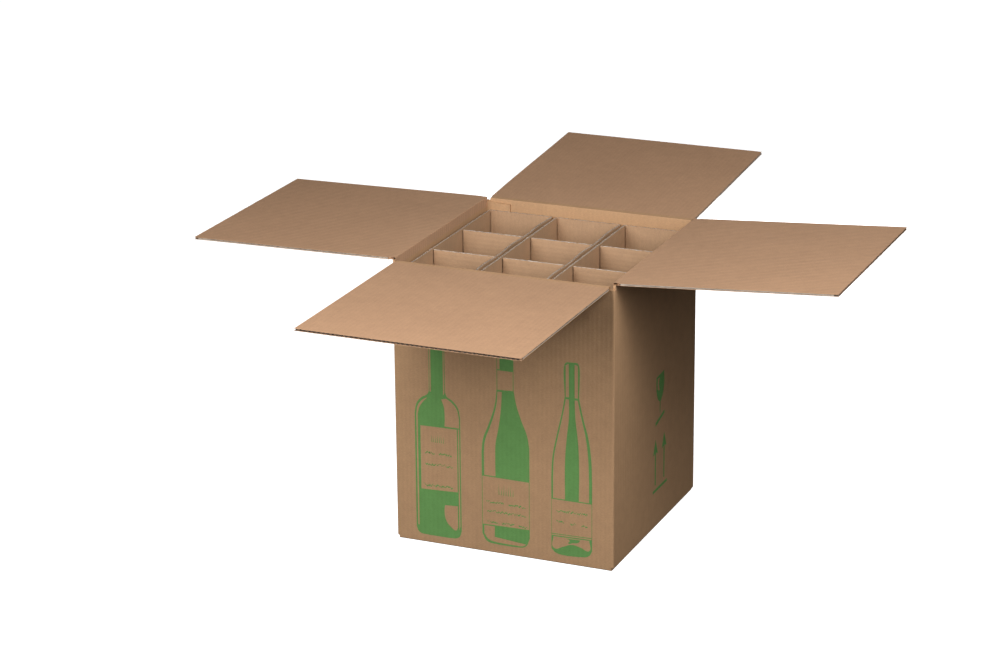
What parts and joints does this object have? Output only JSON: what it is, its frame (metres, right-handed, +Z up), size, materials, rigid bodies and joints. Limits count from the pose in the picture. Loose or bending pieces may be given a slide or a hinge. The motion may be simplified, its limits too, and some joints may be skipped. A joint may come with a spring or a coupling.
{
  "type": "bottle shipping box",
  "caption": "Square corrugated carton with full-length top flaps on hinged folds and a loose divider of column sleeves and slotted cross boards that makes upright bottle cells.",
  "frame": {"origin": "centre of the carton's base, on the ground", "axes": "+Z up, front face with the printed bottles to -Y, +X to the right of the front"},
  "size_m": [0.8984, 0.8976, 0.4165],
  "materials": {
    "kraft_board": "uncoated brown kraft liner with fields of green print",
    "divider_board": "uncoated brown kraft liner, plain"
  },
  "bodies": {
    "carton": {"carton": "kraft_board", "sleeve_left": "divider_board", "sleeve_middle": "divider_board", "sleeve_right": "divider_board", "cross_board_front": "divider_board", "cross_board_back": "divider_board"},
    "flap_front": {"top_flap_front": "kraft_board"},
    "flap_back": {"top_flap_back": "kraft_board"},
    "flap_left": {"top_flap_left": "kraft_board"},
    "flap_right": {"top_flap_right": "kraft_board"}
  },
  "joints": [
    {"name": "fold_front", "type": "hinge", "parent": "carton", "child": "flap_front", "pos_m": [0, -0.1572, 0.38895], "axis": [-1, 0, 0], "range_deg": [-90, 180]},
    {"name": "fold_back", "type": "hinge", "parent": "carton", "child": "flap_back", "pos_m": [0, 0.15795, 0.39155], "axis": [1, 0, 0], "range_deg": [-94, 176]},
    {"name": "fold_left", "type": "hinge", "parent": "carton", "child": "flap_left", "pos_m": [-0.15895, 0, 0.3939], "axis": [0, 1, 0], "range_deg": [-89, 181]},
    {"name": "fold_right", "type": "hinge", "parent": "carton", "child": "flap_right", "pos_m": [0.15955, 0, 0.39665], "axis": [0, -1, 0], "range_deg": [-94, 176]}
  ]
}
